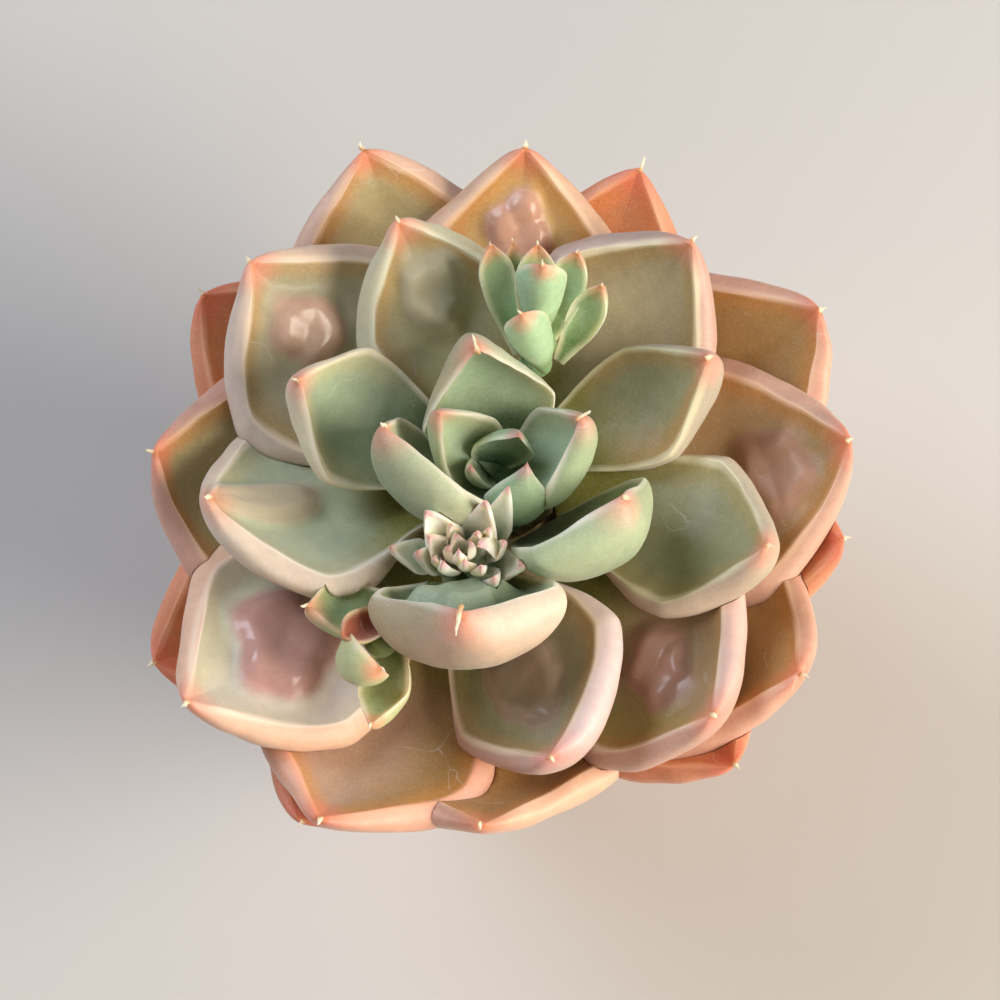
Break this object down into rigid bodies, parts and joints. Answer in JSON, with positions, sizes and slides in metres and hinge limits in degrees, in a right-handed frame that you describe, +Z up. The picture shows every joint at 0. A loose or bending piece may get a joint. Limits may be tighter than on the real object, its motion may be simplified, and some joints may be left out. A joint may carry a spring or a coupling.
{
  "type": "potted rosette echeveria",
  "caption": "Succulent rosette of thick, boat-shaped leaves with upturned tips, growing from a short stem in a plain round clay pot with a rim band.",
  "frame": {"origin": "centre of the pot's underside, which is also under the middle of the rosette's outline", "axes": "+Z up out of the pot, -Y towards the front of the rosette as pictured, +X to its right"},
  "size_m": [0.0818, 0.0829, 0.0812],
  "materials": {
    "pot_clay": "matte",
    "potting_mix": "matte",
    "stem_bark": "matte",
    "young_leaf": "satin",
    "offset_leaf": "satin",
    "inner_leaf": "satin",
    "middle_leaf": "satin",
    "outer_leaf": "satin",
    "lowest_leaf": "satin"
  },
  "bodies": {
    "root": {"pot": "pot_clay", "soil": "potting_mix", "stem": "stem_bark", "main_crown": "young_leaf", "second_crown": "young_leaf", "upper_offset": "offset_leaf", "lower_offset": "offset_leaf", "inner_leaf_1": "inner_leaf", "inner_leaf_2": "inner_leaf", "inner_leaf_3": "inner_leaf", "inner_leaf_4": "inner_leaf", "inner_leaf_5": "inner_leaf", "inner_leaf_6": "inner_leaf", "inner_leaf_7": "inner_leaf", "middle_leaf_1": "middle_leaf", "middle_leaf_2": "middle_leaf", "middle_leaf_3": "middle_leaf", "middle_leaf_4": "middle_leaf", "middle_leaf_5": "middle_leaf", "middle_leaf_6": "middle_leaf", "middle_leaf_7": "middle_leaf", "middle_leaf_8": "middle_leaf", "middle_leaf_9": "middle_leaf", "outer_leaf_1": "outer_leaf", "outer_leaf_2": "outer_leaf", "outer_leaf_3": "outer_leaf", "outer_leaf_4": "outer_leaf", "outer_leaf_5": "outer_leaf", "outer_leaf_6": "outer_leaf", "outer_leaf_7": "outer_leaf", "outer_leaf_8": "outer_leaf", "lowest_leaf_1": "lowest_leaf", "lowest_leaf_2": "lowest_leaf", "lowest_leaf_3": "lowest_leaf", "lowest_leaf_4": "lowest_leaf", "lowest_leaf_5": "lowest_leaf", "lowest_leaf_6": "lowest_leaf"}
  },
  "joints": []
}
